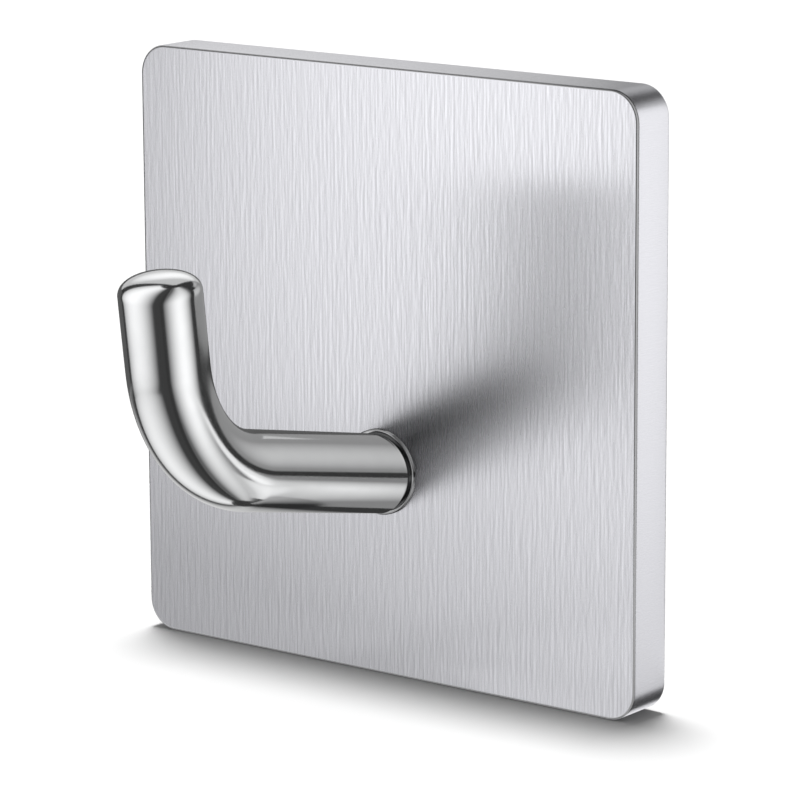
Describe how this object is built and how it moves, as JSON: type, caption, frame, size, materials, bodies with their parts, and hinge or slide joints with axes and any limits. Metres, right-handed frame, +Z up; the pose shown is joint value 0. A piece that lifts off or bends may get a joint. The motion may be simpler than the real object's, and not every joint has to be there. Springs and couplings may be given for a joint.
{
  "type": "wall hook",
  "caption": "Square brushed stainless wall hook with a polished round bar that turns up to a domed tip, stuck to a wall by a foam pad.",
  "frame": {"origin": "middle of the pad's wall face, which is on the wall", "axes": "+Y into the wall, +Z up the wall, +X to the right as seen from the room; the hook reaches out along -Y"},
  "size_m": [0.046, 0.032, 0.046],
  "materials": {
    "brushed_stainless": "fine upright brushing",
    "polished_stainless": "mirror polish",
    "zinc_plated_steel": "bright zinc plating",
    "core_plastic": "moulded, fine grain",
    "foam_tape": "closed-cell foam"
  },
  "bodies": {
    "root": {"face_plate": "brushed_stainless", "hook_rod": "polished_stainless", "root_collar": "polished_stainless", "hook_screw": "zinc_plated_steel", "lock_washer": "zinc_plated_steel", "backing_plate": "core_plastic", "adhesive_pad": "foam_tape"}
  },
  "joints": []
}
